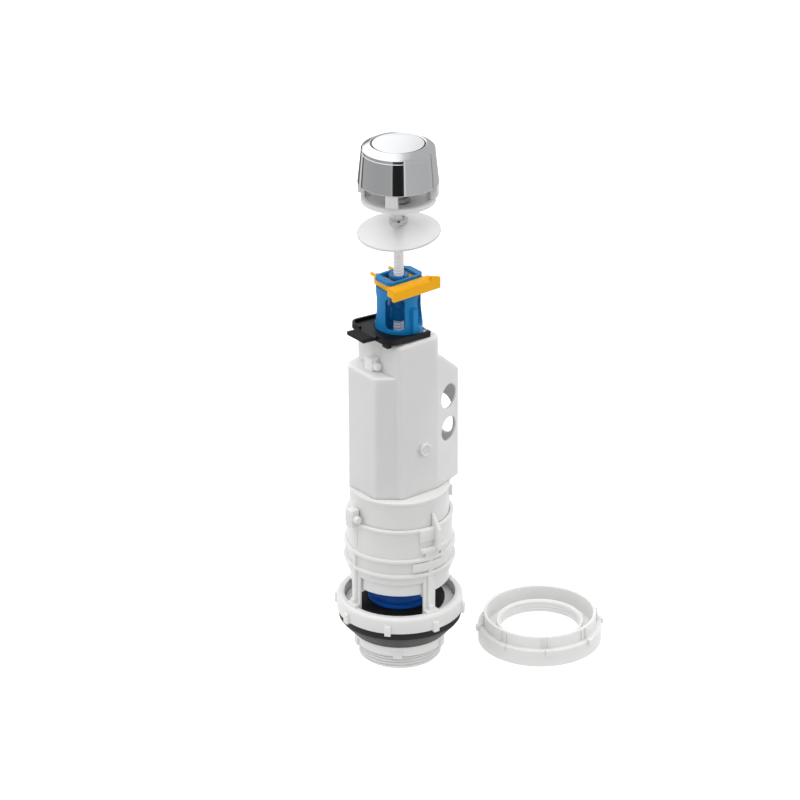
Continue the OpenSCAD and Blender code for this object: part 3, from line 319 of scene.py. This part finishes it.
# White polypropylene: milky, with a soft sheen, and light goes a few millimetres into it.
# The outlet's wall is thick, so it looks denser and its thread stays crisp.
white = plastic("moulded_white_polypropylene", "#E6E6E5", "#E2E2E1", 0.42, 0.7, 0.02, edge_mm=0.25,
                Subsurface_Weight=0.4, Subsurface_Radius=(0.004, 0.004, 0.004), Subsurface_Scale=1.0)
dense = plastic("moulded_dense_white_polypropylene", "#E9E9E8", "#E5E5E4", 0.42, 0.7, 0.02, edge_mm=0.25)

tail = rounded([
    (26.5, 0.0, 0.3), (28.5, 0.0, 0.2), (28.5, 11.0, 0.1), (31.8, 11.0, 0.4), (31.8, 16.8, 0.2),
    (33.8, 16.8, 0.6), (33.8, 19.6, 0.6), (31.0, 19.6, 0.3), (31.0, 38.6, 0.3), (39.7, 38.6, 0.3),
    (39.7, 41.6, 0.4), (30.0, 41.6, 0.3), (30.0, 42.5, 0.3), (28.5, 42.5, 0.3), (26.5, 38.9, 0.3)])
pipe_pitch, root, thread_rows, thread_from, thread_ends = 2.309, 27.9, 106, 2 * corner_rows, (0.3, 10.8)
screw = np.stack([np.full(thread_rows, root), np.linspace(*thread_ends, thread_rows)], 1)
grid = turned(np.concatenate([tail[:thread_from], screw, tail[thread_from:]]), 192)
cut_thread(grid, thread_from, thread_rows, 1.9, pipe_pitch)
place(skin("outlet_tail", grid), "base", "white_plastic", dense, "outlet_seat")
keys = [(28.2, 33.3, 6.5, 9.6, 17.3, -131 + 72 * k) for k in range(5)]
place(blocks("outlet_keys", keys, 0.5), "base", "white_plastic", white)

# Gasket. A black rubber ring, moulded with a cone below and a round rim.
# It is slipped over the hub and squeezed between the base ring and the cistern.
# Black rubber is dull and deep. The cone is painted a paler grey: painted light from the white floor below.
rubber = plastic("moulded_black_rubber", "#141414", "#101010", 0.55, 0.5, 0.02, 1.52, Specular_IOR_Level=0.25)
rubber_painted_floor_light = plastic("black_rubber_painted_floor_light", "#3E3E3E", "#363636", 0.6, 0.5, 0.02, 1.52, Specular_IOR_Level=0.3)
gasket = rounded([
    (31.05, 19.6, 0.3), (34.2, 19.6, 0.6), (42.5, 28.6, 1.0), (44.3, 31.1, 1.0), (44.3, 36.6, 0.9),
    (31.05, 36.6, 0.3)])
round_count = 128
washer = place(skin("gasket", turned(gasket, round_count)), "base", "black_rubber", rubber, "base_gasket")
washer.data.materials.append(rubber_painted_floor_light)
# The cone's rows take the paler grey, painted floor light on the black rubber.
cone_from, cone_to = corner_rows + 2, 3 * corner_rows + 2
row = np.repeat(np.arange(len(gasket)), round_count)
on_cone = (row >= cone_from) & (row < cone_to)
washer.data.polygons.foreach_set("material_index", on_cone.astype(np.int32))


# Cage. White polypropylene, moulded in one piece: base ring with lugs, four posts, a sleeve with beads,
# a latch and a lug with a peg. It is pressed down over the gasket's hub and holds the cylinder in its sleeve.
weld_gap, flat_bend = 2e-6, math.radians(0.6)


def soften(node, material, edge, steps=3, angle=32):
    """Keeps a CAD solid as it is, and finishes it: its triangles welded, its sharp edges rounded by a bevel.
    With no edge width the edges stay crisp, and faces are smooth where they bend by less than the angle."""
    made = nodes[node]
    made.data.materials.clear()
    made.data.materials.append(material)
    made.data.polygons.foreach_set("use_smooth", np.ones(len(made.data.polygons), bool))
    weld = made.modifiers.new("weld", "WELD")
    weld.merge_threshold = weld_gap
    if not edge:
        made.modifiers.new("crisp", "EDGE_SPLIT").split_angle = math.radians(angle)
        return made
    flat = made.modifiers.new("flats", "DECIMATE")
    flat.decimate_type, flat.angle_limit = "DISSOLVE", flat_bend
    soft = made.modifiers.new("edges", "BEVEL")
    soft.width, soft.segments, soft.harden_normals = edge / 1000, steps, True
    soft.limit_method, soft.angle_limit, soft.use_clamp_overlap = "ANGLE", math.radians(angle), False
    return made


def recast(node, name, edge, wide=None, steps=3, let_down=None):
    """A copy of a CAD solid, merged, with each flat face made whole and a bevel on its outer edges alone:
    those where the normals of the two faces turn apart by over 32 degrees. Outer edges round the outside,
    at a height named in wide, get the width given there. Points at the first height of let_down go to the
    second, so that a wall reaches what carries it."""
    outer_bend, inner_bend, outside, near = math.radians(32), math.radians(-20), 0.018, 1e-5
    work = bmesh.new()
    work.from_mesh(nodes[node].data)
    bmesh.ops.remove_doubles(work, verts=work.verts, dist=weld_gap)
    if let_down:
        low_points = [v for v in work.verts if abs(v.co.z - let_down[0]) < near]
        bmesh.ops.translate(work, verts=low_points, vec=(0, 0, let_down[1] - let_down[0]))
        bmesh.ops.remove_doubles(work, verts=work.verts, dist=weld_gap)
        bmesh.ops.dissolve_degenerate(work, edges=work.edges, dist=weld_gap)
    bmesh.ops.dissolve_limit(work, angle_limit=flat_bend, verts=work.verts, edges=work.edges)
    bend = np.array([e.calc_face_angle_signed(0.0) for e in work.edges])
    mesh = bpy.data.meshes.new(name)
    work.to_mesh(mesh)
    work.free()
    ends, point = np.empty((len(bend), 2), np.int32), np.empty((len(mesh.vertices), 3), np.float32)
    mesh.edges.foreach_get("vertices", ends.ravel())
    mesh.vertices.foreach_get("co", point.ravel())
    round_mm = np.where(bend > outer_bend, edge, 0.0)
    for height, wide_mm in (wide or {}).items():
        level = (np.abs(point[:, 2] - height) < near) & (np.hypot(point[:, 0], point[:, 1]) > outside)
        round_mm[(bend > outer_bend) & level[ends].all(1)] = wide_mm
    share = mesh.attributes.new("bevel_weight_edge", "FLOAT", "EDGE")
    share.data.foreach_set("value", (round_mm / round_mm.max()).astype(np.float32))
    mesh.edges.foreach_set("use_edge_sharp", bend < inner_bend)
    mesh.polygons.foreach_set("use_smooth", np.ones(len(mesh.polygons), bool))
    made = bpy.data.objects.new(name, mesh)
    scene.collection.objects.link(made)
    soft = made.modifiers.new("edges", "BEVEL")
    soft.width, soft.segments, soft.harden_normals = round_mm.max() / 1000, steps, True
    soft.limit_method, soft.use_clamp_overlap = "WEIGHT", False
    return made


place(recast("cage", "cage_moulding", 0.25), "base", "white_plastic", white, "cage")

# Lower cylinder. A white polypropylene tube with a rim and a closed top.
# It drops into the sleeve, turns in it to lock, and carries the housing.
soften("lower_cylinder", white, 0)

# Housing. A white polypropylene shell over the mechanism, moulded with a neck, a left shoulder,
# a sloping wing with two flow holes, and bosses for the rocker's axle. It sits fast on the cylinder's top.
# Its wall is thin, so light comes through it and shows in the flow holes, and its corners are soft.
shell = plastic("moulded_white_polypropylene_shell", "#F0F0EF", "#ECECEB", 0.42, 0.7, 0.02, edge_mm=1.2,
                Subsurface_Weight=0.8, Subsurface_Radius=(0.006, 0.006, 0.006), Subsurface_Scale=1.0)
foot, neck = (corner[2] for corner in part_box("housing"))
shoulder, gap = foot + 0.095, 0.003
casing = recast("housing", "housing_shell", 0.3, {neck: 2.5, shoulder: 1.8}, 5, (foot + gap, foot))
place(casing, "upper_body", "white_plastic", shell, "housing")

# Release slide. A black ABS plate with a raised rim and a ribbed grip, pushed on to the neck from the side.
# Black ABS: even and nearly matt, so that its ribs show only by their edges.
black = plastic("moulded_black_abs", "#0E0E0E", "#0A0A0A", 0.42, 0.5, 0.02, 1.53, Specular_IOR_Level=0.2)
soften("release_slide", black, 0)

# Carriage. A tower of blue polypropylene with four windows and a square head, and in it the acetal nut
# that grips the rod, in a darker blue that is painted shade. It slides in the neck.
# Both blues are even and strong with a faint sheen. Acetal is the glossier one.
blue = plastic("moulded_blue_polypropylene", "#0A86C8", "#087CBC", 0.4, 0.6, 0.02, Specular_IOR_Level=0.25)
# The nut's darker blue is painted shade, standing for the tower's shade on it.
blue_painted_shade = plastic("moulded_blue_acetal_painted_shade", "#0A74B4", "#086AA6", 0.36, 0.6, 0.02,
                    Specular_IOR_Level=0.25)
soften("carriage", blue, 0)
soften("rod_nut", blue_painted_shade, 0.25)

# Locking fork. Moulded in yellow acetal with a thumb tab, and pushed through the carriage's head, where it
# holds the nut shut.
# Yellow acetal: warm and full, with little shine.
yellow = plastic("moulded_yellow_acetal", "#FFBA00", "#FFB200", 0.38, 0.6, 0.02, Specular_IOR_Level=0.15)
soften("locking_fork", yellow, 0)

# Push rod. Natural nylon, moulded with a coarse thread from end to end. The nut holds it at the height set,
# and a plain sleeve of the same nylon carries the button on it.
# Natural nylon: a clean cold white, a little glossier than the other whites.
nylon = plastic("moulded_natural_nylon", "#FDFDFF", "#F8F8FA", 0.35, 0.5, 0.01, 1.53)
low, high = (1000 * corner[2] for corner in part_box("push_rod"))
end_r, root, chamfer, thread_rows, end_rows = 3.0, 3.4, 0.3, 601, 2
shank = np.stack([np.full(thread_rows, root), np.linspace(low + chamfer, high - chamfer, thread_rows)], 1)
grid = turned(np.concatenate([[[0, low], [end_r, low]], shank, [[end_r, high], [0, high]]]), 40)
cut_thread(grid, end_rows, thread_rows, 0.35, 2.2)
place(skin("threaded_rod", grid, (False, True)), "button", "nylon", nylon, "push_rod")
soften("button_stem", nylon, 0.3)

# Button and bezel. Both are ABS mouldings, chrome plated: a low dome in a tapered cup with a bevelled rim.
# A fine bead runs under the rim. The cup's inside isn't plated.
# Chrome plate mirrors the tent, and a film of polish dulls it a little in patches.
chrome = bpy.data.materials.new("bright_chrome_plate")
chrome.use_nodes = True
t = chrome.node_tree
shade = t.nodes["Principled BSDF"]
shade.inputs["Base Color"].default_value = linear("#D6D7D9")
shade.inputs["Metallic"].default_value = 1.0
at, film_mm = add(t, "TexCoord").outputs["Object"], 16.667
film = add(t, "TexNoise", {"Vector": at, "Scale": 1000 / film_mm, "Detail": 3.0}).outputs["Fac"]
haze = add(t, "MapRange", {"Value": film, "To Min": 0.045, "To Max": 0.085}).outputs["Result"]
t.links.new(haze, shade.inputs["Roughness"])
# Bare ABS: a pale even grey with a low sheen.
bare = plastic("bare_grey_abs", "#E0E0DE", "#DADAD8", 0.45, 0.5, 0.02, 1.53)
rim = 1000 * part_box("button_bezel")[0][2]
cup = rounded([
    (28.5, 0.0, 0.3), (26.1, 22.6, 0.15), (25.8, 22.9, 0.1), (25.8, 23.3, 0.1), (26.05, 23.6, 0.15),
    (25.9, 25.2, 0.5), (25.0, 26.1, 0.8), (19.9, 28.9, 0.5), (19.1, 28.2, 0.3), (19.1, 22.4, 0.2),
    (20.5, 22.4, 0.2), (20.5, 26.8, 0.3), (23.7, 24.4, 0.4), (27.1, 0.0, 0.3)]) + [0, rim]
round_count = 192
bezel = place(skin("bezel", turned(cup, round_count)), "bezel", "chrome", chrome, "button_bezel")
bezel.data.materials.append(bare)
inside_from, inside_to = 10 * corner_rows, 13 * corner_rows
row = np.repeat(np.arange(len(cup)), round_count)
inside = (row >= inside_from) & (row <= inside_to)
bezel.data.polygons.foreach_set("material_index", inside.astype(np.int32))
top = 1000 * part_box("push_button")[1][2]
dome_r, plate_mm = 212, 2.8
edge = np.linspace(18.1, 0, 40)
dome = np.stack([edge, top - dome_r + np.sqrt(dome_r**2 - edge**2)], 1)
wall = rounded([
    (0, -plate_mm, 0.02), (17.2, -plate_mm, 0.3), (17.2, -9.4, 0.3), (18.4, -9.4, 0.3), (18.4, -0.75, 0.35),
    (0, 0, 0.02)])[corner_rows:-corner_rows]
cap = np.concatenate([[[0, top - plate_mm]], wall + [0, top], dome[1:]])
place(skin("button", turned(cap, round_count), (False, True)), "button", "chrome", chrome, "push_button")

# Spring. Steel wire, coiled round the sleeve between the crown's bowl and the button. In the valve its lower
# end stays with the crown, so the coil shortens as the button goes down; here the whole coil goes with the
# button.
# Drawn spring steel: grey and half bright. The marks of the die are drawn coarser than life to show.
steel = bpy.data.materials.new("drawn_spring_steel")
steel.use_nodes = True
t = steel.node_tree
shade = t.nodes["Principled BSDF"]
shade.inputs["Base Color"].default_value = linear("#8E8E90")
shade.inputs["Metallic"].default_value = 1.0
at, die_mm = add(t, "TexCoord").outputs["Object"], 1.4286
die = add(t, "TexNoise", {"Vector": at, "Scale": 1000 / die_mm, "Detail": 2.0}).outputs["Fac"]
drawn = add(t, "MapRange", {"Value": die, "To Min": 0.22, "To Max": 0.36}).outputs["Result"]
t.links.new(drawn, shade.inputs["Roughness"])


def coil(radius, wire, z_low, z_high, turns, count=40, side=10):
    """A wire of round section swept along a helix, at the angle 2 pi turns f. Its height is 0.1 f plus 0.9 of
    a ramp that is 0 in the first turn and 1 in the last, so that the end turns lie nearly flat.
    One more ring, drawn in to the wire's middle, closes each end."""
    f = np.linspace(0, 1, int(turns * count) + 1)[:, None]
    a = 2 * np.pi * turns * f
    rest = np.clip((f - 1 / turns) / (1 - 2 / turns), 0, 1)
    z = z_low + wire + (z_high - z_low - 2 * wire) * (0.9 * rest + 0.1 * f)
    b = np.linspace(0, 2 * np.pi, side, endpoint=False)[None, :]
    r = radius + wire * np.cos(b)
    swept = np.stack([r * np.cos(a), r * np.sin(a), z + wire * np.sin(b)], -1)
    caps = swept[[0, -1]].mean(1, keepdims=True) + 0 * swept[[0, -1]]
    return np.concatenate([caps[:1], swept, caps[1:]])


low, high = (1000 * corner[2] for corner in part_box("button_spring"))
spring = skin("spring_coil", coil(8.0, 0.6, low, high, 9), (False, True))
place(spring, "button", "spring_steel", steel, "button_spring")
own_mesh(spring)

# Crown. A white polypropylene moulding with a shallow bowl, four posts that snap into the bezel,
# and a split neck, held on the sleeve by a plated clip.
soften("button_crown", white, 0)
soften("neck_clip", chrome, 0.3)

# Splash disc. A shallow cone of polythene, loose on the rod under the clip, so that it hangs a little askew.
# Frosted polythene: nearly white, and what is behind it shows as a soft shade.
frosted = plastic("frosted_translucent_polythene", "#F2F2F2", "#ECECEC", 0.4, 0.6, 0.01, 1.51,
                  Transmission_Weight=0.5)
cone = rounded([(4.4, 0.0, 0.2), (6.5, 0.0, 0.8), (28.75, -5.6, 1.0), (29.35, -6.2, 0.5), (29.35, -7.6, 0.4),
                (27.95, -7.6, 0.4), (6.5, -1.4, 0.8), (4.4, -1.4, 0.2)], 7)
lean, lean_way, hang = math.radians(5.4), math.radians(-74), [0, 0, 337.7]
askew = np.array(Matrix.Rotation(lean_way, 3, "Z") @ Matrix.Rotation(lean, 3, "X"))
disc = skin("disc", turned(cone, 160) @ askew.T + hang)
place(disc, "bezel", "frosted_plastic", frosted, "splash_disc")

# Valve. In the sleeve: a white overflow tube with lift collar and blue float cup, and the rocker lifting it.
# The blue holder clips on to the tube's end over a black rubber seal. Both show between the posts.
# Royal blue polypropylene: deep and even, with a faint sheen.
for node, edge in (("overflow_tube", 0.3), ("seal_retainer", 0.3), ("lift_collar", 0.3), ("rocker", 0)):
    soften(node, white, edge)
valve_blue = plastic("moulded_royal_blue_polypropylene", "#0A64C8", "#085AB8", 0.4, 0.6, 0.02,
                     Specular_IOR_Level=0.25)
soften("seal_holder", valve_blue, 0.3)
soften("float_cup", valve_blue, 0.3)
soften("valve_seal", rubber, 0.3)

# Back nut. A white polypropylene moulding, loose beside the valve: a skirt with lugs, an upper ring with
# pairs of grip ribs, and a threaded hub on a web. It screws on to the tail from under the cistern.
ring = rounded([
    (29.0, 14.0, 0.2), (29.0, 6.0, 0.3), (40.9, 6.0, 0.5), (40.9, 10.6, 0.5), (42.4, 10.6, 0.6),
    (42.4, 0.0, 0.3), (45.0, 0.0, 0.4), (45.0, 12.3, 0.4), (44.2, 13.0, 0.5), (41.0, 13.0, 0.4),
    (41.0, 22.0, 0.5), (38.8, 22.0, 0.5), (38.8, 8.4, 0.5), (31.55, 8.4, 0.5), (31.55, 15.3, 0.5),
    (30.2, 15.3, 0.3)])
hub_r, thread_rows, thread_ends = 29.0, 120, (13.6, 6.5)
bore = np.stack([np.full(thread_rows, hub_r), np.linspace(*thread_ends, thread_rows)], 1)
grid = turned(np.concatenate([ring[:corner_rows], bore, ring[corner_rows:]]), 192)
cut_thread(grid, corner_rows, thread_rows, 0.5, pipe_pitch)
beside = np.array([91.0, -49.0, 0.0])
place(skin("nut_ring", grid + beside), "back_nut", "white_plastic", white, "back_nut")
lugs = [(43.2, 46.9, 4.6, 9.4, 13.8, 14 + 45 * k) for k in range(8)]
ribs = [(40.5, 42.2, 1.2, 12.5, 21.7, 11 + 45 * k + d) for k in range(8) for d in (-3, 3)]
nut_lugs = blocks("nut_lugs", lugs + ribs, 0.35)
nut_lugs.data.transform(Matrix.Translation(beside / 1000))
place(nut_lugs, "back_nut", "white_plastic", white)
